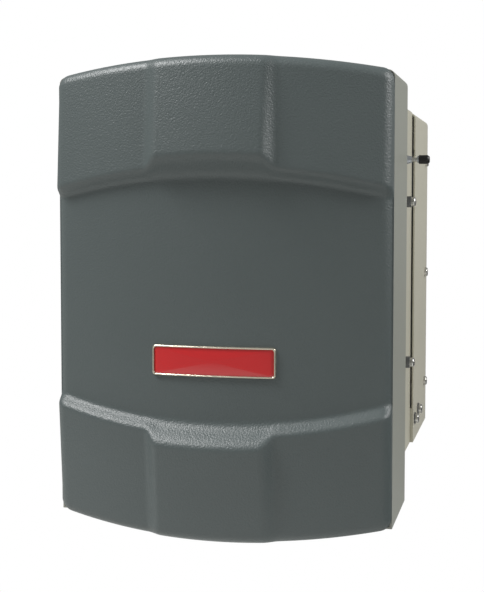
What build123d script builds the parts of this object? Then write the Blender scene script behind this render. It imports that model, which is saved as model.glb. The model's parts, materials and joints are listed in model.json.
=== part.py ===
from build123d import *
import os
from math import radians, tan

# Wall-mounted variable frequency drive, in millimetres.
# +Z up, X to the right, the front faces -Y and the wall is the plane y = 0.
# The origin is the centre of the four wall-mount holes.
os.makedirs("parts", exist_ok=True)

# ---------------------------------------------------------------- driving sizes
width = 300.0                # hood, cover and rear shroud
sheet = 1.5                  # steel sheet of the housing
flange = 12.0                # return flanges of the hood
bend_radius = 6.0            # top corners of hood and shroud
hood_top = 187.0
hood_bottom = -203.0
hood_depth = 100.7
hood_front = -310.0

cover_wall = 4.0
cover_corner = 10.0
cover_arch = 13.0            # rise of the top and bottom edges at mid width
cover_side_depth = 5.0       # panel ahead of the rim at the sides
cover_bow = 24.0             # extra panel depth at mid width
recess_half_side = 85.0      # half height of the recessed panel at the sides
recess_half_centre = 76.4
bevel_run = 1.2              # rise of the recess bevel for each mm of depth
band_raise = 9.0             # side bands over the panel, at the recess edge
band_fall = 0.08             # how fast that raise fades towards the rim
crown_raise = 17.0           # wider raised centre section of each band
crown_fall = 0.134
crown_half = 49.5
crown_step = 6.0             # sloped side of the centre section
gasket = 1.0
cover_screw_inset = 8.0
cover_screw_pitch = 150.0

badge_width = 109.5
badge_height = 26.5
badge_corner = 3.0
badge_proud = 2.5
badge_rim_width = 1.6
badge_z = -60.0

collar_inset = 3.0           # collar sides behind the hood sides
collar_depth = 68.0
slit = 1.2                   # shadow gap between collar and shroud
shroud_half_height = 163.0
notch_rise = 8.0             # key notch in the shroud's edge, above the thumbscrew
notch_height = 6.0
notch_depth = 2.2
plate = 2.0                  # chassis, back and gland plates
seal = 2.0
air_gap = 0.3                # free gap between moving bodies

mount_half_x = 90.0          # wall-mount holes
mount_half_z = 174.0
mount_hole = 3.5
tab_width = 30.0

screw_radius = 2.5           # M5
pan_head_radius = 4.75
pan_head_height = 3.2
hex_flats = 10.4
hex_height = 4.6
washer_radius = 5.75
washer_height = 1.4
rear_screw_y = -22.0
rear_screw_z = 118.0
hood_screw_back = 19.0       # behind the collar's front edge
hood_screw_z = 76.0
lower_screw_offsets = [(14.0, 22.0), (47.0, 26.0)]   # from the shroud's front and foot

thumb_z = 115.5
rod_radius = 2.1
running_gap = 0.05
ferrule_length = 5.0
neck_end = 11.7              # cap's inner face beyond the collar
cap_radius = 4.15
cap_length = 9.8
cap_nose = 1.5               # tapered end of the cap
sleeve_length = 1.2

tongue_clear = 5.0           # inside the collar wall, room for the hood's swing
tongue_plate = 2.0
tongue_height = 24.0
tongue_past_screw = 11.0
nut_bar_gap = 0.7

hinge_out = 5.5              # hinge axis beyond the hood side
hinge_z = [-150.0, 120.0]
knuckle_radius = 3.5
knuckle_length = 12.0
hinge_pin_radius = 2.0

gland_radius = 10.25
gland_pitch = 50.0
gland_rise = 24.0            # above the hood's foot

fan_size = 119.0
fan_depth = 25.0
fan_x = 63.0
fan_bore = 57.0
fan_hub = 19.0
fan_tip_gap = 1.5
fan_blades = 7

heatsink_half_x = 115.0
heatsink_low = -95.0
heatsink_high = 125.0
heatsink_base = 8.0
fin_thickness = 2.5
fin_count = 22
fin_depth = 150.0

# ------------------------------------------------------------- derived places
half = width / 2
hood_rear = hood_front + hood_depth
cover_back = hood_front - gasket
cover_mid_z = (hood_top + hood_bottom) / 2
cover_half_side = (hood_top - hood_bottom) / 2
seal_front = hood_rear + air_gap
plate_front = seal_front + seal
plate_back = plate_front + plate
collar_front = plate_back
collar_back = collar_front + collar_depth
shroud_front = collar_back + slit
shroud_back = -plate
collar_half = half - collar_inset
collar_inner = collar_half - sheet
shroud_inner = half - sheet
hinge_x = -half - hinge_out
hinge_y = plate_front - 1.0
fan_floor = -shroud_half_height + sheet
fan_top = fan_floor + fan_depth
shroud_depth = shroud_back - shroud_front
hood_screw_y = collar_front + hood_screw_back
lower_screws = [(shroud_front + y, z - shroud_half_height) for y, z in lower_screw_offsets]
tongue_x = collar_inner - tongue_clear
tongue_length = hood_screw_y + tongue_past_screw - hood_rear
gland_z = hood_bottom + gland_rise
fan_y = (shroud_front + shroud_back) / 2
sink_back = plate_back + heatsink_base
board_y = plate_front - 24.0
control_y = board_y - 58.0


def side_seat(x, y, z):
    """Plane on a right-hand wall, its normal pointing out of the housing."""
    return Plane(origin=(x, y, z), x_dir=(0, 1, 0), z_dir=(1, 0, 0))


def front_plane(y):
    """Plane across the drive at depth y: sketch x is X, sketch y is Z, its normal is -Y."""
    return Plane(origin=(0, y, 0), x_dir=(1, 0, 0), z_dir=(0, -1, 0))


def box_between(low, high):
    """Rectangular bar between two opposite corners."""
    size = [b - a for a, b in zip(low, high)]
    middle = [(a + b) / 2 for a, b in zip(low, high)]
    with Locations(tuple(middle)):
        return Box(*size)


def pan_screw(head_radius, head_height, shank_radius, shank_length, lift=0.0):
    """Cross-recessed pan head, seated at z = 0 or lifted, with its shank along -Z."""
    with BuildPart() as screw:
        with BuildSketch(Plane.XY.offset(lift)):
            Circle(head_radius)
        extrude(amount=head_height)
        fillet(screw.edges().filter_by(GeomType.CIRCLE).sort_by(Axis.Z)[-1], head_height * 0.45)
        with BuildSketch(Plane.XY.offset(lift + head_height)):
            Rectangle(head_radius * 1.1, head_radius * 0.24)
            Rectangle(head_radius * 0.24, head_radius * 1.1)
        extrude(amount=-head_height * 0.6, mode=Mode.SUBTRACT)
        with BuildSketch(Plane.XY.offset(lift)):
            Circle(shank_radius)
        extrude(amount=-shank_length - lift)
    return screw.part


def placed(piece, seats):
    """Copies of one piece on several seats, kept as separate solids."""
    with BuildPart() as group:
        with Locations(*seats):
            add(piece)
    return group


def area_behind_arc(sides, bow, half_width, back):
    """Sketch of the plan area behind a bowed front line."""
    with BuildSketch() as area:
        with BuildLine():
            Polyline((-half_width, sides), (-half_width, back), (half_width, back), (half_width, sides))
            ThreePointArc((-half_width, sides), (0, sides - bow), (half_width, sides))
        make_face()
    return area.sketch


def cover_form(inset):
    """Solid outer form of the cover, moved back and narrowed by a wall."""
    face_y = cover_back - cover_side_depth + inset
    back = cover_back + 1.0 if inset else cover_back
    bow_radius = (half**2 + cover_bow**2) / (2 * cover_bow)
    crown_y = face_y - cover_bow + crown_half**2 / (2 * bow_radius)
    crown_bow = crown_half**2 / (2 * bow_radius)
    crown = crown_half - inset
    with BuildPart() as form:
        for side in (1, -1):
            low = cover_mid_z + side * recess_half_centre
            plan = Plane.XY.offset(low)
            with BuildSketch(plan):
                add(area_behind_arc(face_y - band_raise, cover_bow, half, back + 60))
            extrude(amount=160, dir=(0, band_fall, side))
            with BuildSketch(plan):
                with BuildLine():
                    Polyline(
                        (-crown, crown_y - crown_raise * 1.4),
                        (-crown - crown_step, crown_y - band_raise * 0.5),
                        (-crown - crown_step, back + 60),
                        (crown + crown_step, back + 60),
                        (crown + crown_step, crown_y - band_raise * 0.5),
                        (crown, crown_y - crown_raise * 1.4),
                    )
                    ThreePointArc(
                        (-crown, crown_y - crown_raise * 1.4),
                        (0, crown_y - crown_raise * 1.4 - crown_bow),
                        (crown, crown_y - crown_raise * 1.4),
                    )
                make_face()
            extrude(amount=160, dir=(0, crown_fall, side))
        for side in (1, -1):
            with BuildSketch(front_plane(face_y)):
                with BuildLine():
                    middle = cover_mid_z + side * recess_half_centre
                    edge = cover_mid_z + side * recess_half_side
                    far = cover_mid_z - side * recess_half_centre
                    Polyline((-half - 9, edge), (-half - 9, far), (half + 9, far), (half + 9, edge))
                    ThreePointArc((-half - 9, edge), (0, middle), (half + 9, edge))
                make_face()
            extrude(amount=90, dir=(0, -1, side * bevel_run), mode=Mode.SUBTRACT)
        with BuildSketch(Plane.XY.offset(cover_mid_z - 220)):
            add(area_behind_arc(face_y, cover_bow, half, back + 60))
        extrude(amount=440)
        with BuildSketch(front_plane(back)):
            top = cover_mid_z + cover_half_side - inset
            foot = cover_mid_z - cover_half_side + inset
            rim = half - inset
            with BuildLine():
                ThreePointArc((-rim, top), (0, top + cover_arch), (rim, top))
                Line((rim, top), (rim, foot))
                ThreePointArc((rim, foot), (0, foot - cover_arch), (-rim, foot))
                Line((-rim, foot), (-rim, top))
            make_face()
            fillet(vertices(), cover_corner - inset)
        extrude(amount=90, mode=Mode.INTERSECT)
    return form.part


# ------------------------------------------------------------------ hood body
cover_screw_x = half - cover_screw_inset
cover_screw_places = [
    (side * cover_screw_x, cover_mid_z + step * cover_screw_pitch) for side in (-1, 1) for step in (-1, 0, 1)
]
cover_screw_depth = 4.0

with BuildPart() as front_cover:
    add(cover_form(0))
    add(cover_form(cover_wall), mode=Mode.SUBTRACT)
    with BuildSketch(front_plane(cover_back)):
        with Locations(*cover_screw_places):
            Circle(4.5)
    extrude(amount=cover_screw_depth)
    with BuildSketch(front_plane(cover_back)):
        with Locations(*cover_screw_places):
            Circle(2.0)
    extrude(amount=cover_screw_depth, mode=Mode.SUBTRACT)
front_cover.part.label = "front_cover"
export_step(front_cover.part, "parts/front_cover.step")

with BuildPart() as cover_gasket:
    with BuildSketch(front_plane(hood_front)):
        with Locations((0, cover_mid_z)):
            Rectangle(width - 4, 2 * cover_half_side - 4)
            Rectangle(width - 2 * flange, 2 * cover_half_side - 2 * flange, mode=Mode.SUBTRACT)
        with Locations(*cover_screw_places):
            Circle(2.2, mode=Mode.SUBTRACT)
    extrude(amount=gasket)
cover_gasket.part.label = "cover_gasket"
export_step(cover_gasket.part, "parts/cover_gasket.step")

cover_screw_seats = [
    Plane(origin=(x, hood_front + sheet, z), x_dir=(1, 0, 0), z_dir=(0, 1, 0))
    for x, z in cover_screw_places
]
cover_screws = placed(
    pan_screw(3.6, 2.4, 2.0, sheet + gasket + cover_screw_depth), cover_screw_seats
)
cover_screws.part.label = "cover_screws"
export_step(cover_screws.part, "parts/cover_screws.step")


def hood_section(inset, low):
    """Hood cross-section in X and Z, with bent top corners and a plain foot."""
    high = hood_top - inset
    with Locations((0, (high + low) / 2)):
        section = Rectangle(width - 2 * inset, high - low)
    fillet(section.vertices().group_by(Axis.Y)[-1], max(bend_radius - inset, 0.8))


with BuildPart() as hood_wrap:
    with BuildSketch(front_plane(hood_rear)):
        hood_section(0, hood_bottom)
    extrude(amount=hood_depth)
    with BuildSketch(front_plane(hood_rear - sheet)):
        hood_section(sheet, hood_bottom - 5)
    extrude(amount=hood_depth - 2 * sheet, mode=Mode.SUBTRACT)
    with BuildSketch(front_plane(hood_rear)):
        hood_section(sheet + flange, hood_bottom - 5)
    extrude(amount=hood_depth, mode=Mode.SUBTRACT)
    with BuildSketch(front_plane(hood_rear)):
        with Locations(*cover_screw_places):
            Circle(2.2)
    extrude(amount=hood_depth, mode=Mode.SUBTRACT)
hood_wrap.part.label = "hood_wrap"
export_step(hood_wrap.part, "parts/hood_wrap.step")

bottom_half = half - sheet - flange - air_gap
with BuildPart() as hood_bottom_plate:
    box_between(
        (-half + sheet, hood_front + sheet, hood_bottom),
        (half - sheet, hood_rear - sheet, hood_bottom + sheet),
    )
    for low, high in ((hood_front, hood_front + sheet), (hood_rear - sheet, hood_rear)):
        box_between((-bottom_half, low, hood_bottom), (bottom_half, high, hood_bottom + flange))
hood_bottom_plate.part.label = "hood_bottom"
export_step(hood_bottom_plate.part, "parts/hood_bottom.step")

# Three tongues that reach back into the collar, each with a slot open to the rear.
tongue_places = [thumb_z, hood_screw_z, -hood_screw_z]
slot_half = screw_radius + 1.0
with BuildPart() as latch_tongues:
    for z in tongue_places:
        low = (tongue_x, hood_rear, z - tongue_height / 2)
        box_between(low, (tongue_x + tongue_plate, hood_rear + tongue_length, z + tongue_height / 2))
    with BuildSketch(side_seat(tongue_x - 1, hood_screw_y, 0)):
        for z in tongue_places:
            with Locations((0, z)):
                Circle(slot_half)
            with Locations((tongue_length / 2, z)):
                Rectangle(tongue_length, 2 * slot_half)
    extrude(amount=tongue_plate + 2, mode=Mode.SUBTRACT)
latch_tongues.part.label = "latch_tongues"
export_step(latch_tongues.part, "parts/latch_tongues.step")

bow_radius = (half**2 + cover_bow**2) / (2 * cover_bow)
panel_front = cover_back - cover_side_depth - cover_bow
badge_floor = panel_front + badge_width**2 / (8 * bow_radius)


def badge_slab(inset, front, back):
    """Badge outline between two bowed faces that follow the panel."""
    with BuildPart() as slab:
        with BuildSketch(front_plane(back)):
            with Locations((0, badge_z)):
                RectangleRounded(
                    badge_width - 2 * inset, badge_height - 2 * inset, badge_corner - inset * 0.6
                )
        extrude(amount=20)
        with BuildSketch(Plane(origin=(0, panel_front + bow_radius, badge_z - badge_height))):
            Circle(bow_radius + front)
        extrude(amount=2 * badge_height, mode=Mode.INTERSECT)
        with BuildSketch(Plane(origin=(0, panel_front + bow_radius, badge_z - badge_height))):
            Circle(bow_radius)
        extrude(amount=2 * badge_height, mode=Mode.SUBTRACT)
    return slab.part


with BuildPart() as badge_rim:
    add(badge_slab(0, badge_proud, badge_floor))
    add(badge_slab(badge_rim_width, badge_proud + 1, badge_floor + 1), mode=Mode.SUBTRACT)
badge_rim.part.label = "badge_rim"
export_step(badge_rim.part, "parts/badge_rim.step")

with BuildPart() as badge_face:
    add(badge_slab(badge_rim_width, badge_proud - 0.5, badge_floor))
badge_face.part.label = "badge_face"
export_step(badge_face.part, "parts/badge_face.step")

with BuildPart() as hinge_leaves:
    for z in hinge_z:
        with BuildSketch(Plane.XY.offset(z)):
            with Locations((hinge_x, hinge_y)):
                Circle(knuckle_radius)
            with Locations(((hinge_x - half) / 2, hinge_y - knuckle_radius + 0.85)):
                Rectangle(hinge_out, 1.7)
            with Locations((-half - sheet / 2, hinge_y - 10)):
                Rectangle(sheet, 15)
            with Locations((hinge_x, hinge_y)):
                Circle(hinge_pin_radius + running_gap, mode=Mode.SUBTRACT)
        extrude(amount=knuckle_length)
hinge_leaves.part.label = "hinge_leaves"
export_step(hinge_leaves.part, "parts/hinge_leaves.step")

# --------------------------------------------------------------- chassis body
bracket_drop = knuckle_length + 0.5
with BuildPart() as hinge_brackets:
    for z in hinge_z:
        with BuildSketch(Plane.XY.offset(z - bracket_drop)):
            with Locations((hinge_x, hinge_y)):
                Circle(knuckle_radius)
            with Locations(((hinge_x - collar_half) / 2, hinge_y + knuckle_radius - 1.2)):
                Rectangle(-hinge_x - collar_half, 2.4)
            with Locations((-collar_half - 1, collar_front + 8)):
                Rectangle(2, 18)
            with Locations((hinge_x, hinge_y)):
                Circle(hinge_pin_radius, mode=Mode.SUBTRACT)
        extrude(amount=knuckle_length)
hinge_brackets.part.label = "hinge_brackets"
export_step(hinge_brackets.part, "parts/hinge_brackets.step")

with BuildPart() as hinge_pins:
    for z in hinge_z:
        with BuildSketch(Plane.XY.offset(z - bracket_drop)):
            with Locations((hinge_x, hinge_y)):
                Circle(hinge_pin_radius)
        extrude(amount=bracket_drop + knuckle_length)
hinge_pins.part.label = "hinge_pins"
export_step(hinge_pins.part, "parts/hinge_pins.step")

plate_top = hood_top - 3
plate_foot = hood_bottom + 3
window_half_x = heatsink_half_x - 18
gland_places = [(x, gland_z) for x in (-gland_pitch, 0, gland_pitch)]
gland_window = (2 * gland_pitch + 3 * gland_radius, 2 * gland_radius + 4)
notch_x = tongue_x - 1.0
notch_half_z = tongue_height / 2 + 2


def tongue_notches():
    """Notches at the right edge that let the hood's tongues through."""
    for z in tongue_places:
        with Locations(((notch_x + half) / 2, z)):
            Rectangle(half - notch_x, 2 * notch_half_z, mode=Mode.SUBTRACT)


with BuildPart() as chassis_plate:
    with BuildSketch(front_plane(plate_back)):
        with Locations((0, (plate_top + plate_foot) / 2)):
            Rectangle(2 * collar_half, plate_top - plate_foot)
        with Locations((0, (heatsink_low + heatsink_high) / 2)):
            Rectangle(2 * window_half_x, heatsink_high - heatsink_low - 36, mode=Mode.SUBTRACT)
        with Locations((0, gland_z)):
            Rectangle(*gland_window, mode=Mode.SUBTRACT)
        tongue_notches()
    extrude(amount=plate)
chassis_plate.part.label = "chassis_plate"
export_step(chassis_plate.part, "parts/chassis_plate.step")

with BuildPart() as hood_seal:
    with BuildSketch(front_plane(plate_front)):
        with Locations((0, (plate_top + plate_foot) / 2)):
            Rectangle(2 * collar_half, plate_top - plate_foot)
            Rectangle(2 * (collar_half - 9), plate_top - plate_foot - 18, mode=Mode.SUBTRACT)
        tongue_notches()
    extrude(amount=seal)
hood_seal.part.label = "hood_seal"
export_step(hood_seal.part, "parts/hood_seal.step")

with BuildPart() as side_collar:
    with BuildSketch(front_plane(collar_back)):
        Rectangle(2 * collar_half, 2 * shroud_half_height)
        Rectangle(2 * collar_inner, 2 * (shroud_half_height - sheet), mode=Mode.SUBTRACT)
    extrude(amount=collar_depth)
    with BuildSketch(side_seat(collar_inner - 2, hood_screw_y, 0)):
        with Locations((0, hood_screw_z), (0, -hood_screw_z)):
            Circle(screw_radius + 0.25)
        with Locations((0, thumb_z)):
            Circle(rod_radius + 1.6)
    extrude(amount=sheet + 4, mode=Mode.SUBTRACT)
side_collar.part.label = "side_collar"
export_step(side_collar.part, "parts/side_collar.step")

# Bar behind the tongues, with the threads of the two screws and the thumbscrew.
bar_back = tongue_x - nut_bar_gap
bar_low = (bar_back - 5, hood_screw_y - 6, -hood_screw_z - 18)
bar_high = (bar_back, hood_screw_y + 6, thumb_z + 18)
with BuildPart() as nut_bar:
    box_between(bar_low, bar_high)
    for low, high in ((bar_low[2], bar_low[2] + 5), (bar_high[2] - 5, bar_high[2])):
        box_between((bar_low[0], plate_back, low), (bar_back, bar_high[1], high))
    with BuildSketch(side_seat(bar_low[0] - 1, hood_screw_y, 0)):
        with Locations((0, hood_screw_z), (0, -hood_screw_z)):
            Circle(screw_radius)
        with Locations((0, thumb_z)):
            Circle(rod_radius + running_gap)
    extrude(amount=8, mode=Mode.SUBTRACT)
nut_bar.part.label = "nut_bar"
export_step(nut_bar.part, "parts/nut_bar.step")

hood_screw_seats = [side_seat(collar_half, hood_screw_y, z) for z in (hood_screw_z, -hood_screw_z)]
with BuildPart() as hex_collar:
    with BuildSketch():
        RegularPolygon(hex_flats / 2, 6, major_radius=False)
        Circle(screw_radius, mode=Mode.SUBTRACT)
    extrude(amount=hex_height)
hood_screw_collars = placed(hex_collar.part, hood_screw_seats)
hood_screw_collars.part.label = "hood_screw_collars"
export_step(hood_screw_collars.part, "parts/hood_screw_collars.step")

hood_screws = placed(
    pan_screw(4.5, 4.4, screw_radius, collar_half - bar_low[0], lift=hex_height), hood_screw_seats
)
hood_screws.part.label = "hood_screws"
export_step(hood_screws.part, "parts/hood_screws.step")

with BuildPart() as thumbscrew_ferrule:
    with BuildSketch(side_seat(collar_half, hood_screw_y, thumb_z)):
        Circle(4.25)
    extrude(amount=ferrule_length, taper=14)
    with BuildSketch(side_seat(collar_half, hood_screw_y, thumb_z)):
        Circle(rod_radius + 0.3)
    extrude(amount=ferrule_length, mode=Mode.SUBTRACT)
thumbscrew_ferrule.part.label = "thumbscrew_ferrule"
export_step(thumbscrew_ferrule.part, "parts/thumbscrew_ferrule.step")

# The sleeve only slides, up to the ferrule's nose; the rod and its cap turn in the sleeve.
with BuildPart() as thumbscrew_sleeve:
    with BuildSketch(side_seat(collar_half + neck_end - sleeve_length - 0.3, hood_screw_y, thumb_z)):
        Circle(rod_radius + 1.2)
        Circle(rod_radius + running_gap, mode=Mode.SUBTRACT)
    extrude(amount=sleeve_length)
thumbscrew_sleeve.part.label = "thumbscrew_sleeve"
export_step(thumbscrew_sleeve.part, "parts/thumbscrew_sleeve.step")

rod_length = collar_half + neck_end - bar_back + 1.0
with BuildPart() as thumbscrew_rod:
    with BuildSketch(side_seat(collar_half + neck_end, hood_screw_y, thumb_z)):
        Circle(rod_radius)
    extrude(amount=-rod_length)
thumbscrew_rod.part.label = "thumbscrew_rod"
export_step(thumbscrew_rod.part, "parts/thumbscrew_rod.step")

with BuildPart() as thumbscrew_cap:
    with BuildSketch(side_seat(collar_half + neck_end, hood_screw_y, thumb_z)):
        Circle(cap_radius)
        with PolarLocations(cap_radius + 0.1, 18):
            Circle(0.35, mode=Mode.SUBTRACT)
    extrude(amount=cap_length - cap_nose)
    with BuildSketch(side_seat(collar_half + neck_end + cap_length - cap_nose, hood_screw_y, thumb_z)):
        Circle(cap_radius - 0.3)
    extrude(amount=cap_nose, taper=35)
thumbscrew_cap.part.label = "thumbscrew_cap"
export_step(thumbscrew_cap.part, "parts/thumbscrew_cap.step")


def shroud_section(inset, low):
    """Shroud cross-section in X and Z, with bent top corners."""
    high = shroud_half_height - inset
    with Locations((0, (high + low) / 2)):
        section = Rectangle(width - 2 * inset, high - low)
    fillet(section.vertices().group_by(Axis.Y)[-1], bend_radius - inset)


with BuildPart() as rear_shroud:
    with BuildSketch(front_plane(shroud_back)):
        shroud_section(0, -shroud_half_height)
    extrude(amount=shroud_depth)
    with BuildSketch(front_plane(shroud_back)):
        shroud_section(sheet, -shroud_half_height - 5)
    extrude(amount=shroud_depth, mode=Mode.SUBTRACT)
    with BuildSketch(Plane.XY.offset(shroud_half_height - sheet - 1)):
        with Locations((0, fan_y)):
            with GridLocations(12, 56, 21, 2):
                SlotOverall(46, 3.5, rotation=90)
    extrude(amount=5, mode=Mode.SUBTRACT)
    with BuildSketch(side_seat(shroud_inner - 1, 0, 0)):
        with Locations((rear_screw_y, 0), (rear_screw_y, rear_screw_z), (rear_screw_y, -rear_screw_z)):
            Circle(screw_radius + 0.2)
        with Locations(*lower_screws):
            Circle(screw_radius + 0.2)
        with Locations((shroud_front, thumb_z + notch_rise)):
            Rectangle(2 * notch_depth, notch_height)
    extrude(amount=5, mode=Mode.SUBTRACT)
rear_shroud.part.label = "rear_shroud"
export_step(rear_shroud.part, "parts/rear_shroud.step")

rear_seats = [side_seat(half, rear_screw_y, z) for z in (rear_screw_z, 0, -rear_screw_z)]
shroud_screws = placed(pan_screw(pan_head_radius, pan_head_height, screw_radius, 7), rear_seats)
shroud_screws.part.label = "shroud_screws"
export_step(shroud_screws.part, "parts/shroud_screws.step")

lower_seats = [side_seat(half, y, z) for y, z in lower_screws]
with BuildPart() as washer:
    with BuildSketch():
        Circle(washer_radius)
        Circle(screw_radius, mode=Mode.SUBTRACT)
    extrude(amount=washer_height)
lower_washers = placed(washer.part, lower_seats)
lower_washers.part.label = "lower_washers"
export_step(lower_washers.part, "parts/lower_washers.step")

lower_pan_screws = placed(
    pan_screw(pan_head_radius, pan_head_height, screw_radius, 8, lift=washer_height), lower_seats
)
lower_pan_screws.part.label = "lower_screws"
export_step(lower_pan_screws.part, "parts/lower_screws.step")

with BuildPart() as base_panel:
    with BuildSketch(Plane.XY.offset(-shroud_half_height)):
        with Locations((0, (shroud_front + shroud_back) / 2)):
            Rectangle(2 * shroud_inner, shroud_depth)
        with Locations((-fan_x, fan_y), (fan_x, fan_y)):
            Circle(fan_bore, mode=Mode.SUBTRACT)
    extrude(amount=sheet)
    for side in (-1, 1):
        x = side * (shroud_inner - 2)
        edge = side * shroud_inner
        low = (min(x, edge), shroud_front, -shroud_half_height + sheet)
        box_between(low, (max(x, edge), shroud_back - 32, lower_screws[1][1] + 8))
    with BuildSketch(side_seat(shroud_inner - 3, 0, 0)):
        with Locations(*lower_screws):
            Circle(screw_radius)
    extrude(amount=5, mode=Mode.SUBTRACT)
base_panel.part.label = "base_panel"
export_step(base_panel.part, "parts/base_panel.step")

with BuildPart() as back_plate:
    with BuildSketch(front_plane(0)):
        shroud_section(0, -shroud_half_height)
        with Locations((-mount_half_x, 0), (mount_half_x, 0)):
            Rectangle(tab_width, 2 * (mount_half_z + 8))
        with Locations(*[(x * mount_half_x, z * mount_half_z) for x in (-1, 1) for z in (-1, 1)]):
            Circle(mount_hole, mode=Mode.SUBTRACT)
    extrude(amount=plate)
    for side in (-1, 1):
        x = side * (shroud_inner - 2)
        edge = side * shroud_inner
        low = (min(x, edge), rear_screw_y - 9, -shroud_half_height + 32)
        box_between(low, (max(x, edge), -plate, shroud_half_height - 8))
    with BuildSketch(side_seat(shroud_inner - 3, rear_screw_y, 0)):
        with Locations((0, 0), (0, rear_screw_z), (0, -rear_screw_z)):
            Circle(screw_radius)
    extrude(amount=5, mode=Mode.SUBTRACT)
back_plate.part.label = "back_plate"
export_step(back_plate.part, "parts/back_plate.step")

rail = 9.0
rail_x = shroud_inner - 3.5 - rail
with BuildPart() as frame_rails:
    for x in (-rail_x - rail, rail_x):
        for z in (-shroud_half_height + 48, shroud_half_height - sheet - rail - 1):
            box_between((x, plate_back, z), (x + rail, -plate, z + rail))
frame_rails.part.label = "frame_rails"
export_step(frame_rails.part, "parts/frame_rails.step")

fin_pitch = (2 * heatsink_half_x - fin_thickness) / (fin_count - 1)
with BuildPart() as heatsink:
    box_between(
        (-heatsink_half_x, plate_back, heatsink_low), (heatsink_half_x, sink_back, heatsink_high)
    )
    with BuildSketch(Plane.XY.offset(heatsink_low)):
        with Locations((0, sink_back + fin_depth / 2)):
            with GridLocations(fin_pitch, 1, fin_count, 1):
                Rectangle(fin_thickness, fin_depth)
    extrude(amount=heatsink_high - heatsink_low)
heatsink.part.label = "heatsink"
export_step(heatsink.part, "parts/heatsink.step")

base_z = -shroud_half_height
with BuildPart() as fan_frame:
    with BuildSketch(Plane.XY.offset(fan_floor)):
        RectangleRounded(fan_size, fan_size, 5)
        Circle(fan_bore, mode=Mode.SUBTRACT)
    extrude(amount=fan_depth)
    with BuildSketch(Plane.XY.offset(fan_top - 3)):
        Circle(15)
        with PolarLocations(fan_bore / 2, 4):
            Rectangle(fan_bore + 4, 5)
    extrude(amount=3)
    with BuildSketch(Plane.XY.offset(fan_floor + 8)):
        Circle(2)
    extrude(amount=fan_depth - 8)

with BuildPart() as fan_rotor:
    with BuildSketch(Plane.XY.offset(fan_floor + 3)):
        Circle(fan_hub)
    extrude(amount=fan_depth - 3 - 3 - 1.2)
    with PolarLocations(0, fan_blades):
        with Locations(((fan_hub + fan_bore - fan_tip_gap) / 2 - 1.5, 0, fan_floor + 3 + 8.5)):
            Box(fan_bore - fan_tip_gap - fan_hub, 1.6, 17, rotation=(38, 0, 0))
    with BuildSketch(Plane.XY.offset(fan_floor + 7)):
        Circle(2 + running_gap)
    extrude(amount=fan_depth, mode=Mode.SUBTRACT)

for side, x in (("left", -fan_x), ("right", fan_x)):
    frame = placed(fan_frame.part, [Location((x, fan_y, 0))])
    frame.part.label = f"fan_frame_{side}"
    export_step(frame.part, f"parts/fan_frame_{side}.step")
    rotor = placed(fan_rotor.part, [Location((x, fan_y, 0))])
    rotor.part.label = f"fan_rotor_{side}"
    export_step(rotor.part, f"parts/fan_rotor_{side}.step")

with BuildPart() as fan_guards:
    for x in (-fan_x, fan_x):
        with BuildSketch(Plane(origin=(x, fan_y, base_z))):
            for step in range(4):
                ring = fan_bore - 3 - (3 - step) * fan_bore / 4
                Circle(ring + 1)
                Circle(ring - 1, mode=Mode.SUBTRACT)
            with PolarLocations(0, 4):
                Rectangle(2 * fan_bore + 8, 2)
        extrude(amount=-2)
fan_guards.part.label = "fan_guards"
export_step(fan_guards.part, "parts/fan_guards.step")

with BuildPart() as gland_plate:
    with BuildSketch(front_plane(plate_back + plate)):
        with Locations((0, gland_z)):
            Rectangle(gland_window[0] + 16, 2 * gland_radius + 10)
        with Locations(*gland_places):
            Circle(gland_radius, mode=Mode.SUBTRACT)
    extrude(amount=plate)
gland_plate.part.label = "gland_plate"
export_step(gland_plate.part, "parts/gland_plate.step")

# ---------------------------------------------------------------- electronics
with BuildPart() as power_modules:
    for z in (-30.0, 45.0):
        box_between((-75, plate_front - 10, z - 28), (75, plate_back, z + 28))
power_modules.part.label = "power_modules"
export_step(power_modules.part, "parts/power_modules.step")

board_half_x = 108.0
board_low = -82.0
board_high = 150.0
board_thickness = 1.6
post_places = [(x, z) for x in (-102.0, 102.0) for z in (board_low + 6, board_high - 6)]
with BuildPart() as power_board:
    with BuildSketch(front_plane(board_y)):
        with Locations((0, (board_low + board_high) / 2)):
            Rectangle(2 * board_half_x, board_high - board_low)
        with Locations(*post_places):
            Circle(1.6, mode=Mode.SUBTRACT)
    extrude(amount=board_thickness)
power_board.part.label = "power_board"
export_step(power_board.part, "parts/power_board.step")

with BuildPart() as control_board:
    with BuildSketch(front_plane(control_y)):
        with Locations((0, (board_low + board_high) / 2)):
            Rectangle(2 * board_half_x, board_high - board_low)
            Rectangle(96, 150, mode=Mode.SUBTRACT)
        with Locations(*post_places):
            Circle(1.6, mode=Mode.SUBTRACT)
    extrude(amount=board_thickness)
control_board.part.label = "control_board"
export_step(control_board.part, "parts/control_board.step")

with BuildPart() as board_posts:
    with BuildSketch(front_plane(plate_front)):
        with Locations(*post_places):
            Circle(3)
    extrude(amount=plate_front - board_y)
    with BuildSketch(front_plane(board_y - board_thickness)):
        with Locations(*post_places):
            Circle(3)
    extrude(amount=board_y - board_thickness - control_y)
    with BuildSketch(front_plane(board_y)):
        with Locations(*post_places):
            Circle(1.6)
    extrude(amount=board_thickness)
board_posts.part.label = "board_posts"
export_step(board_posts.part, "parts/board_posts.step")

capacitor_radius = 17.5
capacitor_length = 50.0
with BuildPart() as bus_capacitors:
    with BuildSketch(front_plane(board_y - board_thickness)):
        with Locations((0, 75)):
            with GridLocations(40, 40, 2, 3):
                Circle(capacitor_radius)
    extrude(amount=capacitor_length)
    fillet(bus_capacitors.edges().filter_by(GeomType.CIRCLE).group_by(Axis.Y)[0], 1.5)
bus_capacitors.part.label = "bus_capacitors"
export_step(bus_capacitors.part, "parts/bus_capacitors.step")

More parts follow.
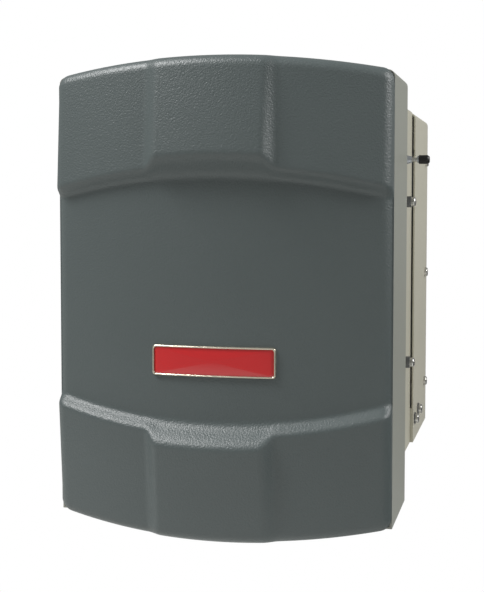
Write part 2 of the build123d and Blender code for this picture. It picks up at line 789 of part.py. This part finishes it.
with BuildPart() as power_terminals:
    box_between((-99, plate_front - 34, -132), (99, plate_front, -102))
    with BuildSketch(front_plane(plate_front - 34)):
        with Locations((0, -117)):
            with GridLocations(22, 1, 9, 1):
                Circle(5)
    extrude(amount=-12, mode=Mode.SUBTRACT)
power_terminals.part.label = "power_terminals"
export_step(power_terminals.part, "parts/power_terminals.step")

with BuildPart() as terminal_screws:
    with BuildSketch(front_plane(plate_front - 34 + 12)):
        with Locations((0, -117)):
            with GridLocations(22, 1, 9, 1):
                Circle(4)
                Rectangle(7, 1, mode=Mode.SUBTRACT)
    extrude(amount=4)
terminal_screws.part.label = "terminal_screws"
export_step(terminal_screws.part, "parts/terminal_screws.step")

with BuildPart() as control_terminals:
    for z in (board_low + 16, board_high - 16):
        box_between((-60, control_y - board_thickness - 9, z - 6), (60, control_y - board_thickness, z + 6))
control_terminals.part.label = "control_terminals"
export_step(control_terminals.part, "parts/control_terminals.step")

with BuildPart() as current_sensors:
    for x in (-60.0, 0.0, 60.0):
        box_between((x - 14, board_y - board_thickness - 20, -60), (x + 14, board_y - board_thickness, -28))
    with BuildSketch(front_plane(board_y)):
        with Locations((-60, -44), (0, -44), (60, -44)):
            Circle(6)
    extrude(amount=30, mode=Mode.SUBTRACT)
current_sensors.part.label = "current_sensors"
export_step(current_sensors.part, "parts/current_sensors.step")

with BuildPart() as earth_stud:
    with BuildSketch(front_plane(plate_front)):
        with Locations((-120, -160)):
            Circle(3)
    extrude(amount=16)
    with BuildSketch(front_plane(plate_front)):
        with Locations((-120, -160)):
            RegularPolygon(5, 6, major_radius=False)
    extrude(amount=5)
earth_stud.part.label = "earth_stud"
export_step(earth_stud.part, "parts/earth_stud.step")
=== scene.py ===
# %% [markdown]
# # A wall-mounted motor drive
# The lesson dresses a finished CAD frame. The real drive is a bowed, moulded plastic cover on a
# hinged sheet-steel hood, in front of a finned chassis with a rear shroud. The frame already has
# every piece in its place, so each step here only gives a finish, or a finer surface for what the
# eye reads first: the cover and its badge.

# %% Load the frame
import bpy
import json
import math
import numpy as np
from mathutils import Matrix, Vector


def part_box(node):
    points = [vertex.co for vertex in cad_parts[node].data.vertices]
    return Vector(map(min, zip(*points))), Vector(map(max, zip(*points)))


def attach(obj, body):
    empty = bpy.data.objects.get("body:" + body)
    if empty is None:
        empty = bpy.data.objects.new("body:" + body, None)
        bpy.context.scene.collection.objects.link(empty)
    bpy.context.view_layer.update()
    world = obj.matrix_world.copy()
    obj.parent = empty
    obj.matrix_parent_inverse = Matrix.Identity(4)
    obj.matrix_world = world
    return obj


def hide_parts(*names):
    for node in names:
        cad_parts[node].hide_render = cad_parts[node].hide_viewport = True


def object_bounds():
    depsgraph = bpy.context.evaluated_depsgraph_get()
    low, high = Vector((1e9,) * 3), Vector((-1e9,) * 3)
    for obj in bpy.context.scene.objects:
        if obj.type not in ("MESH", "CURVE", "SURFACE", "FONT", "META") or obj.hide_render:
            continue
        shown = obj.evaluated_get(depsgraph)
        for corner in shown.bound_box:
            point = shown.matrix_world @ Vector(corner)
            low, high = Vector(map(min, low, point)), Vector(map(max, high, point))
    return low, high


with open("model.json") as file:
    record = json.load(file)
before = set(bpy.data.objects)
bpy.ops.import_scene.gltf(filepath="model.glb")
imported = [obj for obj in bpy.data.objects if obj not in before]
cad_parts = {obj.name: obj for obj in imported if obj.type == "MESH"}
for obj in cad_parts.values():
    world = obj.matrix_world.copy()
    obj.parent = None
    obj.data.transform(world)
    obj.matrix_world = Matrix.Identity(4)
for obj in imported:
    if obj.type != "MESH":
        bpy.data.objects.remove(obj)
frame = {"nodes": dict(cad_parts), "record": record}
cad_low, cad_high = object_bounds()
MM = 0.001
cover_low, cover_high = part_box("front_cover")
print("CAD box", tuple(cad_low), tuple(cad_high))

# %% [markdown]
# ## Numbers into meshes and colours
# Every new piece is a grid of points worked out at once with numpy. One function turns such a
# grid into faces, and one puts them into a mesh. Colours are written as hex values, as a paint
# card gives them, and one function turns them into the linear values that shading needs.


# %% Helpers
def linear(code, alpha=1.0):
    """Linear colour from an sRGB hex code: each channel follows the sRGB power curve."""
    srgb = np.array([int(code[i:i + 2], 16) for i in (1, 3, 5)]) / 255.0
    low = srgb / 12.92
    high = ((srgb + 0.055) / 1.055) ** 2.4
    return (*np.where(srgb <= 0.04045, low, high), alpha)


def grid_faces(rows, columns, around=False):
    """Quads of a grid: each point joins its right, upper-right and upper neighbour."""
    last = columns if around else columns - 1
    row = np.arange(rows - 1)[:, None] * columns
    here = np.arange(last)[None, :]
    after = (here + 1) % columns
    quads = np.stack([row + here, row + after, row + columns + after, row + columns + here], -1)
    return quads.reshape(-1, 4)


def mesh_piece(name, points, faces, body, slot, material):
    """A smooth-shaded object from points in metres and quads, riding on a body."""
    mesh = bpy.data.meshes.new(name)
    mesh.vertices.add(len(points))
    mesh.vertices.foreach_set("co", np.asarray(points, np.float32).ravel())
    mesh.loops.add(faces.size)
    mesh.loops.foreach_set("vertex_index", faces.astype(np.int32).ravel())
    mesh.polygons.add(len(faces))
    mesh.polygons.foreach_set("loop_start", np.arange(len(faces), dtype=np.int32) * 4)
    mesh.polygons.foreach_set("use_smooth", np.ones(len(faces), bool))
    mesh.update(calc_edges=True)
    mesh.validate()
    piece = bpy.data.objects.new(name, mesh)
    bpy.context.scene.collection.objects.link(piece)
    mesh.materials.append(material)
    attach(piece, body)
    print(name, len(points), "points", len(faces), "faces")
    return piece


def add_node(owner, kind, inputs=None, **settings):
    """A node in a material or world: settings set its options, inputs take a value or an output."""
    node = owner.node_tree.nodes.new(kind)
    for key, value in settings.items():
        setattr(node, key, value)
    for key, value in (inputs or {}).items():
        if isinstance(value, bpy.types.NodeSocket):
            owner.node_tree.links.new(value, node.inputs[key])
        else:
            node.inputs[key].default_value = value
    return node


print("helpers:", *(tool.__name__ for tool in (linear, grid_faces, mesh_piece, add_node)))

# %% [markdown]
# ## Finishes
# A finish is a base colour with slight mottling, a roughness that varies a little, and a fine
# relief. All patterns sit on Object coordinates in metres, so a size in millimetres turns into a
# noise scale of one over that size. The relief of real moulded grain is about 0.5 mm across; here
# it is drawn a little coarser, so that it still shows from a metre away.


# %% One builder for coated, moulded and metal finishes
MOTTLE_SCALE = 14.0
ROUGHNESS_SWING = 0.05
COATING_IOR = 1.5


def finish(
    name, colour, mottled, roughness, grain_mm, relief_mm, metallic=0.0, coat=0.0, streak=(1, 1, 1)
):
    """Principled finish: noise mixes two near colours, shifts roughness and lifts a fine relief."""
    material = bpy.data.materials.new(name)
    material.use_nodes = True
    shader = material.node_tree.nodes["Principled BSDF"]
    place = add_node(material, "ShaderNodeTexCoord").outputs["Object"]
    stretched = add_node(material, "ShaderNodeMapping", {"Vector": place, "Scale": streak}).outputs[0]
    cloud = add_node(
        material, "ShaderNodeTexNoise", {"Vector": place, "Scale": MOTTLE_SCALE, "Detail": 3.0}
    )
    grain = add_node(
        material, "ShaderNodeTexNoise", {"Vector": stretched, "Scale": 1000.0 / grain_mm, "Detail": 2.0}
    )
    mixed = add_node(
        material,
        "ShaderNodeMix",
        {0: cloud.outputs["Fac"], 6: linear(colour), 7: linear(mottled)},
        data_type="RGBA",
    )
    rough = add_node(
        material,
        "ShaderNodeMapRange",
        {0: grain.outputs["Fac"], 3: roughness - ROUGHNESS_SWING, 4: roughness + ROUGHNESS_SWING},
    )
    bump = add_node(
        material,
        "ShaderNodeBump",
        {"Height": grain.outputs["Fac"], "Distance": relief_mm * MM, "Strength": 1.0},
    )
    links = material.node_tree.links
    links.new(mixed.outputs[2], shader.inputs["Base Color"])
    links.new(rough.outputs[0], shader.inputs["Roughness"])
    links.new(bump.outputs[0], shader.inputs["Normal"])
    shader.inputs["Metallic"].default_value = metallic
    shader.inputs["Coat Weight"].default_value = coat
    if metallic < 0.5:
        shader.inputs["IOR"].default_value = COATING_IOR
    return material


# %% The drive's finishes
cover_abs = finish("haircell_moulded_abs", "#4B5353", "#4F5757", 0.40, 1.5, 0.42)
badge_enamel = finish("red_badge_enamel", "#C41F22", "#BA191D", 0.22, 2.0, 0.01, coat=0.6)
badge_metal = finish("polished_badge_rim", "#D9D2C0", "#CFC8B6", 0.22, 1.5, 0.01, metallic=0.85)
# The hood's paint is the shroud's beige powder coat made darker: painted shade on the hood's side.
hood_paint_darkened_for_shade = finish("powder_coat_darkened_for_shade", "#8B8D84", "#888A81", 0.42, 0.9, 0.03)
shroud_paint = finish("pale_beige_powder_coat", "#B9B6A5", "#B5B2A1", 0.36, 0.9, 0.03)
zinc_sheet = finish(
    "zinc_plated_sheet", "#B4B8BB", "#A6ABB0", 0.34, 0.7, 0.01, metallic=0.9, streak=(1, 1, 0.08)
)
bright_zinc = finish("bright_zinc_screw", "#C9C8C4", "#B9B8B4", 0.26, 0.8, 0.01, metallic=0.95)
black_oxide = finish("black_oxide_steel", "#6E7072", "#626466", 0.36, 0.8, 0.01, metallic=0.7)
black_nylon = finish("black_moulded_nylon", "#141415", "#1A1A1B", 0.42, 0.9, 0.02)
foam_rubber = finish("black_foam_rubber", "#1B1B1C", "#232324", 0.85, 0.8, 0.06)
fin_aluminium = finish(
    "extruded_aluminium", "#BFC3C7", "#B2B7BC", 0.4, 0.6, 0.01, metallic=0.95, streak=(1, 1, 0.06)
)
solder_mask = finish("green_solder_mask", "#12502B", "#17602F", 0.35, 0.8, 0.01, coat=0.3)
shrink_sleeve = finish("dark_shrink_sleeve", "#161A24", "#1D2230", 0.28, 1.5, 0.01, coat=0.2)
green_nylon = finish("green_moulded_nylon", "#2C7A38", "#276F33", 0.45, 0.9, 0.02)
module_resin = finish("dark_module_resin", "#212123", "#29292B", 0.5, 0.9, 0.02)

slot_finish = {
    "moulded_cover": cover_abs,
    "badge_red": badge_enamel,
    "badge_silver": badge_metal,
    "powder_coat": shroud_paint,
    "zinc_sheet": zinc_sheet,
    "zinc_screw": bright_zinc,
    "dark_steel": black_oxide,
    "black_plastic": black_nylon,
    "seal_rubber": foam_rubber,
    "heatsink_aluminium": fin_aluminium,
    "circuit_board": solder_mask,
    "capacitor_sleeve": shrink_sleeve,
    "terminal_green": green_nylon,
    "module_case": module_resin,
}
parts_with_shade_paint = ("hood_wrap", "hood_bottom", "hinge_leaves")
for entry in frame["record"]["subparts"]:
    chosen = slot_finish[entry["material_slot"]]
    # The hood, its bottom and its hinge leaves take the darkened copy of the powder coat: painted
    # shade.
    if entry["node"] in parts_with_shade_paint:
        chosen = hood_paint_darkened_for_shade
    for place in frame["nodes"][entry["node"]].material_slots:
        place.material = chosen

# %% [markdown]
# ## The moulded cover
# The real cover is one thin ABS moulding: a bowed panel, sunk between a top and a bottom band, with
# a wider raised crown in the middle of each band, and all edges rounded by the mould. A height
# above the rim, as a function of X and Z, says all of this, so the cover is one numpy height field
# with a skirt, and Solidify gives it a wall.

# %% Cover sizes, taken from the frame where the frame has them
HALF_WIDTH = (cover_high.x - cover_low.x) / 2 / MM
RIM_Y = cover_high.y / MM
MIDDLE_Z = (cover_low.z + cover_high.z) / 2 / MM
HALF_HEIGHT = (cover_high.z - cover_low.z) / 2 / MM
ARCH = 13.0
CORNER = 10.0
EDGE_ROUND = 9.0
SIDE_DEPTH = 5.0
BOW = 24.0
FLOOR_SIDE = 86.0
FLOOR_RISE = 19.0
BAND_RAISE = 9.0
BAND_FALL = 0.08
CROWN_RAISE = 17.0
CROWN_FALL = 0.134
CROWN_HALF = 52.0
CROWN_SOFT = 6.8
CROWN_MIDDLE = -2.0
BEVEL_RUN = 1.2
BEVEL_STRETCH = 1.25
BEVEL_EARLY = 0.12
SOFT_SHARE = 0.55
SHARP_SHARE = 0.45
SHARP_SPAN = 0.76
LEAST_HEIGHT = 1.0
SKIN = 3.0
EDGE_ZONE_X = 12.0
EDGE_ZONE_END = 0.06
EDGE_STEPS = 12
ACROSS_STEPS = 150
ALONG_STEPS = 205
SKIRT_STEPS = 4
print("cover half sizes", HALF_WIDTH, HALF_HEIGHT, "mm, rim at", RIM_Y, "mm")


# %% Height of the cover
def soft_step(t):
    """Smooth rise from 0 to 1: three t squared less two t cubed, held outside 0 to 1."""
    t = np.clip(t, 0.0, 1.0)
    return t * t * (3.0 - 2.0 * t)


def outline_half(x):
    """Half height of the outline at x: a shallow arch that falls with x squared to the sides."""
    return HALF_HEIGHT - ARCH * (x / HALF_WIDTH) ** 2


def cover_height(x, z):
    """Panel bow plus the band or crown raise, faded in over a bevel that follows a bowed line."""
    across = 1.0 - (x / HALF_WIDTH) ** 2
    panel = SIDE_DEPTH + BOW * across
    crown = soft_step((CROWN_HALF + CROWN_SOFT - np.abs(x - CROWN_MIDDLE)) / (2 * CROWN_SOFT))
    beyond = np.abs(z) - (FLOOR_SIDE + FLOOR_RISE * across)
    band = BAND_RAISE - BAND_FALL * np.maximum(beyond - BEVEL_RUN * BAND_RAISE, 0.0)
    raised = CROWN_RAISE - CROWN_FALL * np.maximum(beyond - BEVEL_RUN * CROWN_RAISE, 0.0)
    lift = band + (raised - band) * crown
    run = BEVEL_RUN * (BAND_RAISE + (CROWN_RAISE - BAND_RAISE) * crown) * BEVEL_STRETCH
    t = (beyond + BEVEL_EARLY * run) / run
    ramp = SOFT_SHARE * soft_step(t) + SHARP_SHARE * soft_step((t - BEVEL_EARLY) / SHARP_SPAN)
    return panel + lift * ramp


def inside_distance(x, z):
    """Distance in from the outline: to its nearest edge, or to the corner arc near a corner."""
    side = HALF_WIDTH - np.abs(x)
    end = outline_half(x) - np.abs(z)
    corner_x = CORNER - side
    corner_z = CORNER - end
    near_corner = (corner_x > 0) & (corner_z > 0)
    arc = CORNER - np.hypot(np.maximum(corner_x, 0), np.maximum(corner_z, 0))
    return np.maximum(np.where(near_corner, arc, np.minimum(side, end)), 0.0)


def rounded_height(x, z):
    """Height with its edge rolled over by a quarter circle as wide as the edge round."""
    inward = np.minimum(inside_distance(x, z), EDGE_ROUND)
    roll = EDGE_ROUND - np.sqrt(np.maximum(EDGE_ROUND**2 - (EDGE_ROUND - inward) ** 2, 0.0))
    height = cover_height(x, z)
    return height - np.minimum(roll, height - LEAST_HEIGHT)


# %% Grid lines, closer together where the edge rolls over
def edge_lines(total, edge, edge_steps, middle_steps):
    """Places from -total to total: cosine spacing in the edge, even spacing between."""
    roll = edge * (1 - np.cos(np.linspace(0, math.pi / 2, edge_steps)))
    middle = np.linspace(-total + edge, total - edge, middle_steps)
    return np.concatenate([-total + roll[:-1], middle, (total - roll[:-1])[::-1]])


across_x = edge_lines(HALF_WIDTH, EDGE_ZONE_X, EDGE_STEPS, ACROSS_STEPS)
along = edge_lines(1.0, EDGE_ZONE_END, EDGE_STEPS, ALONG_STEPS)
corner_cut = CORNER - np.sqrt(
    np.maximum(CORNER**2 - np.maximum(np.abs(across_x) - HALF_WIDTH + CORNER, 0) ** 2, 0)
)
grid_x = np.repeat(across_x[None, :], len(along), 0)
grid_z = along[:, None] * (outline_half(across_x) - corner_cut)[None, :]
grid_y = RIM_Y - rounded_height(grid_x, grid_z)
face_points = np.stack([grid_x, grid_y, grid_z + MIDDLE_Z], -1).reshape(-1, 3)
print("cover front at", grid_y.min(), "mm; frame says", cover_low.y / MM)

# %% Skirt from the rolled edge back to the rim, and the piece itself
rows, columns = grid_x.shape
index = np.arange(rows * columns).reshape(rows, columns)
border = np.concatenate([index[0, :], index[1:, -1], index[-1, -2::-1], index[-2:0:-1, 0]])
skirt = []
for step in range(1, SKIRT_STEPS + 1):
    ring = face_points[border].copy()
    ring[:, 1] += (RIM_Y - ring[:, 1]) * step / SKIRT_STEPS
    skirt.append(ring)
face_quads = grid_faces(rows, columns)
skirt_index = rows * columns + np.arange(SKIRT_STEPS * len(border))
ring_index = np.concatenate([border, skirt_index])
skirt_quads = ring_index[grid_faces(SKIRT_STEPS + 1, len(border), around=True)][:, ::-1]
cover_skin = mesh_piece(
    "cover_skin",
    np.concatenate([face_points] + skirt) * MM,
    np.concatenate([face_quads, skirt_quads]),
    "hood",
    "moulded_cover",
    cover_abs,
)
wall = cover_skin.modifiers.new("wall", "SOLIDIFY")
wall.thickness = SKIN * MM
wall.offset = -1.0
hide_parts("front_cover")

# %% [markdown]
# ## The lip behind the arches
# The cover's arched ends stand past the flat ends of the hood, so the moulding has a flat return
# lip there that closes it from behind. Each lip is a thin crescent between a straight line and the
# outline's arch: a grid whose second parameter runs from one to the other.

# %% Two crescents
LIP_LAP = 6.0
LIP_WALL = 2.0
LIP_INSET = 1.0
LIP_FORWARD = 0.2
LIP_COLUMNS = 60
LIP_ROWS = 5
hood_half = HALF_HEIGHT - ARCH
lip_x = np.linspace(-HALF_WIDTH + CORNER, HALF_WIDTH - CORNER, LIP_COLUMNS)
lip_share = np.linspace(0.0, 1.0, LIP_ROWS)[:, None]
lip_points = []
for side in (1.0, -1.0):
    inner = hood_half - LIP_LAP
    reach_z = inner + (outline_half(lip_x) - LIP_INSET - inner) * lip_share
    flat = np.stack([
        np.broadcast_to(lip_x, reach_z.shape),
        np.full(reach_z.shape, RIM_Y - LIP_FORWARD),
        side * reach_z + MIDDLE_Z,
    ], -1)
    lip_points.append(flat.reshape(-1, 3))
lip_quads = grid_faces(len(lip_share), len(lip_x))
cover_lip = mesh_piece(
    "cover_lip",
    np.concatenate(lip_points) * MM,
    np.concatenate([lip_quads[:, ::-1], lip_quads + len(lip_points[0])]),
    "hood",
    "moulded_cover",
    cover_abs,
)
lip_wall = cover_lip.modifiers.new("wall", "SOLIDIFY")
lip_wall.thickness = LIP_WALL * MM
lip_wall.offset = -1.0

# %% [markdown]
# ## The badge
# The real badge is a pressed metal plate: a red enamel field that domes slightly, inside a raised
# polished rim with small round corners. The plate stays bare. Both pieces follow the bow of the
# panel behind them, so their height comes from the cover's own height.

# %% Badge sizes from the frame
badge_low, badge_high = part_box("badge_rim")
BADGE_X = (badge_high.x - badge_low.x) / 2 / MM
BADGE_Z = (badge_high.z - badge_low.z) / 2 / MM
BADGE_MIDDLE = (badge_high.z + badge_low.z) / 2 / MM
BADGE_CORNER = 3.0
RIM_WIDTH = 1.9
RIM_HEIGHT = 2.5
FIELD_HEIGHT = 1.3
DOME = 0.9
RIM_STEPS = 13
RIM_FULLNESS = 0.6
RIM_CORNER_SHARE = 0.6
FIELD_INSET = 0.8
FIELD_CORNER_LESS = 1.2
FIELD_RINGS = 16


def rounded_loop(half_x, half_z, corner, per_corner=12, per_side=24):
    """Closed rounded rectangle: four straight runs joined by quarter circles."""
    turn = np.linspace(0, math.pi / 2, per_corner)
    centres = [(1, 1, 0.0), (-1, 1, 0.5), (-1, -1, 1.0), (1, -1, 1.5)]
    arcs = [
        np.stack([
            sx * (half_x - corner) + corner * np.cos(turn + math.pi * start),
            sz * (half_z - corner) + corner * np.sin(turn + math.pi * start),
        ], -1)
        for sx, sz, start in centres
    ]
    between = np.linspace(0, 1, per_side)[1:-1, None]
    parts = []
    for here, after in zip(arcs, arcs[1:] + arcs[:1]):
        parts += [here, here[-1] + (after[0] - here[-1]) * between]
    return np.concatenate(parts)


def badge_ring(loop, height):
    """Points of a loop of x and z, set on the bowed panel at a height above it."""
    x, z = loop[:, 0], loop[:, 1]
    depth = RIM_Y - cover_height(x, z + BADGE_MIDDLE - MIDDLE_Z) - height
    return np.stack([x, depth, z + BADGE_MIDDLE], -1)


print("badge half sizes", BADGE_X, BADGE_Z, "mm, middle at", BADGE_MIDDLE, "mm")

# %% Rim: a half-round profile carried round the outline
sweep = np.linspace(0, math.pi, RIM_STEPS)
profile_in = RIM_WIDTH / 2 - RIM_WIDTH / 2 * np.cos(sweep)
profile_up = RIM_HEIGHT * np.sin(sweep) ** RIM_FULLNESS
profile_up[-1] = 0.0
loops = [
    rounded_loop(BADGE_X - inset, BADGE_Z - inset, BADGE_CORNER - inset * RIM_CORNER_SHARE)
    for inset in profile_in
]
rim_points = [badge_ring(loop, up) for loop, up in zip(loops, profile_up)]
rim_quads = grid_faces(len(loops), len(loops[0]), around=True)
ring_count = len(loops[0])
first_ring = np.arange(ring_count)
after_first = np.roll(first_ring, -1)
to_last = ring_count * (len(loops) - 1)
base_quads = np.stack([first_ring + to_last, after_first + to_last, after_first, first_ring], -1)
badge_frame = mesh_piece(
    "badge_frame",
    np.concatenate(rim_points) * MM,
    np.concatenate([rim_quads, base_quads]),
    "hood",
    "badge_silver",
    badge_metal,
)
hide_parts("badge_rim")

# %% Field: a domed plate inside the rim
field_inset = RIM_WIDTH * FIELD_INSET
outer = rounded_loop(BADGE_X - field_inset, BADGE_Z - field_inset, BADGE_CORNER - FIELD_CORNER_LESS)
field_rings = [
    badge_ring(outer * share, FIELD_HEIGHT + DOME * (1 - share**2))
    for share in np.linspace(1.0, 0.0, FIELD_RINGS)
]
back_ring = badge_ring(outer, 0.0)
badge_plate = mesh_piece(
    "badge_plate",
    np.concatenate([back_ring] + field_rings) * MM,
    grid_faces(len(field_rings) + 1, len(outer), around=True),
    "hood",
    "badge_red",
    badge_enamel,
)
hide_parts("badge_face")

# %% [markdown]
# ## Parts on the circuit boards
# A real control board carries rows of small black resin packages with metal feet. Each package is
# a low block whose sides lean in, as the mould leaves them. One function lays out a whole row from
# its centres at once, and a bevel softens the edges. They sit on the frame's own boards.

# %% Rows of packages
board_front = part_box("control_board")[0].y / MM
EDGE_BEVEL = 0.3


def package_rows(name, centres, size, lean, slot, material):
    """Blocks on a board: each is eight corners, base size at the board, narrowed by lean in front."""
    corner = np.array([(-1, -1), (1, -1), (1, 1), (-1, 1)]) / 2.0
    width_x, tall, height = size
    base = np.concatenate([
        np.stack([corner[:, 0] * width_x, np.zeros(4), corner[:, 1] * tall], -1),
        np.stack([corner[:, 0] * width_x * lean, np.full(4, -height), corner[:, 1] * tall * lean], -1),
    ])
    spots = np.array([(x, board_front, z) for x, z in centres])
    points = (spots[:, None, :] + base[None, :, :]).reshape(-1, 3)
    quads = np.array([
        (3, 2, 1, 0), (4, 5, 6, 7), (0, 1, 5, 4), (1, 2, 6, 5), (2, 3, 7, 6), (3, 0, 4, 7)
    ])
    faces = (np.arange(len(spots))[:, None, None] * 8 + quads[None, :, :]).reshape(-1, 4)
    piece = mesh_piece(name, points * MM, faces, "chassis", slot, material)
    edge = piece.modifiers.new("edge", "BEVEL")
    edge.width = EDGE_BEVEL * MM
    edge.segments = 2
    edge.limit_method = "ANGLE"
    return piece


strip_x = (-92.0, -76.0, -60.0, 60.0, 76.0, 92.0)
strip_z = np.arange(-40.0, 121.0, 20.0)
chip_x = (-84.0, -68.0, 68.0, 84.0)
chip_z = np.arange(-50.0, 131.0, 6.0)
package_size, package_lean = (9.0, 7.0, 1.8), 0.86
foot_size, foot_lean, foot_away = (1.8, 5.6, 0.5), 0.8, 5.2
chip_size, chip_lean = (2.0, 1.2, 0.8), 0.95
package_rows(
    "board_packages",
    [(x, z) for x in strip_x for z in strip_z],
    package_size, package_lean, "module_case", module_resin,
)
package_rows(
    "board_package_feet",
    [(x + dx, z) for x in strip_x for z in strip_z for dx in (-foot_away, foot_away)],
    foot_size, foot_lean, "zinc_screw", bright_zinc,
)
package_rows(
    "board_chip_parts",
    [(x, z) for x in chip_x for z in chip_z],
    chip_size, chip_lean, "zinc_screw", bright_zinc,
)

# %% [markdown]
# ## Camera, light and stage
# The view is from about a metre in front of the cover, a little to the right and above. Two soft
# lamps light it: one above and to the left, one to the right for the steel side. The floor and the
# backdrop are white to the camera, through Light Path; reflections see the dimmer room colour.

# %% Camera
scene = bpy.context.scene
scene.view_settings.view_transform = "Standard"
YAW = 0.24258
PITCH = 0.05669
LENS_MM = 72.2
SENSOR_MM = 36.0
SHIFT_UP = -0.0507
CAMERA_PLACE = (0.26586, -1.31092, 0.07895)
lens_data = bpy.data.cameras.new("camera")
lens_data.lens = LENS_MM
lens_data.sensor_width = SENSOR_MM
lens_data.shift_y = SHIFT_UP
camera = bpy.data.objects.new("camera", lens_data)
camera.location = CAMERA_PLACE
camera.rotation_euler = (math.pi / 2 - PITCH, 0.0, YAW)
scene.collection.objects.link(camera)
scene.camera = camera
print("camera at", CAMERA_PLACE, "lens", LENS_MM, "mm")


# %% Light
def lamp(name, place, target, size, power):
    """Square area lamp at a place, turned towards a target."""
    data = bpy.data.lights.new(name, "AREA")
    data.size = size
    data.energy = power
    piece = bpy.data.objects.new(name, data)
    piece.location = place
    way = np.array(target) - np.array(place)
    piece.rotation_euler = (
        math.acos(-way[2] / np.linalg.norm(way)), 0.0, math.atan2(way[1], way[0]) - math.pi / 2
    )
    scene.collection.objects.link(piece)
    print(name, "at", place, "power", power)


lamp("lamp_above", (-1.15, -0.95, 1.65), (0, -0.3, 0), 0.8, 53.0)
lamp("lamp_right", (1.5, -0.25, 0.9), (0.15, -0.2, 0.1), 0.8, 21.5)

WHITE = (1.0, 1.0, 1.0, 1.0)
ROOM_STRENGTH = 0.34
world = bpy.data.worlds.new("white_room")
scene.world = world
world.use_nodes = True
room = world.node_tree.nodes["Background"]
room.inputs["Color"].default_value = linear("#F4F4F2")
room.inputs["Strength"].default_value = ROOM_STRENGTH


def white_to_camera(owner, shader, glow_kind, output):
    """Put a plain white in place of the owner's own shader, for camera rays only."""
    ray = add_node(owner, "ShaderNodeLightPath").outputs["Is Camera Ray"]
    glow = add_node(owner, glow_kind, {"Color": WHITE, "Strength": 1.0})
    inputs = {0: ray, 1: shader.outputs[0], 2: glow.outputs[0]}
    pick = add_node(owner, "ShaderNodeMixShader", inputs)
    owner.node_tree.links.new(pick.outputs[0], owner.node_tree.nodes[output].inputs[0])


white_to_camera(world, room, "ShaderNodeBackground", "World Output")

# %% Floor
FLOOR_DROP = 0.30
FLOOR_REACH = 3.0
MATT_ROUGHNESS = 0.9


def matt(name, code):
    """A material of one rough colour, and its shader node."""
    material = bpy.data.materials.new(name)
    material.use_nodes = True
    shader = material.node_tree.nodes["Principled BSDF"]
    shader.inputs["Base Color"].default_value = linear(code)
    shader.inputs["Roughness"].default_value = MATT_ROUGHNESS
    return material, shader


def flat_quad(name, corners, material):
    """One flat face from four corners."""
    mesh = bpy.data.meshes.new(name)
    mesh.from_pydata(corners, [], [(0, 1, 2, 3)])
    mesh.materials.append(material)
    piece = bpy.data.objects.new(name, mesh)
    scene.collection.objects.link(piece)
    print(name, corners[0], "to", corners[2])
    return piece


floor_z = cad_low.z - FLOOR_DROP
paper, paper_shader = matt("pale_paper_floor", "#E9E9E7")
white_to_camera(paper, paper_shader, "ShaderNodeEmission", "Material Output")
sides = ((-1, -1), (1, -1), (1, 1), (-1, 1))
floor = flat_quad("floor", [(FLOOR_REACH * x, FLOOR_REACH * y, floor_z) for x, y in sides], paper)

# %% A dark card low on the right, out of the camera's sight, that shades the steel side's lower half
CARD_X = 0.75
CARD_FRONT = -0.6
CARD_BACK = 1.6
CARD_TOP = -0.06
card_paint, _ = matt("dark_card", "#2A2E30")
card_corners = [
    (CARD_X, y, z)
    for y, z in (
        (CARD_FRONT, floor_z), (CARD_BACK, floor_z), (CARD_BACK, CARD_TOP), (CARD_FRONT, CARD_TOP)
    )
]
dark_card = flat_quad("dark_card", card_corners, card_paint)
dark_card.visible_camera = False
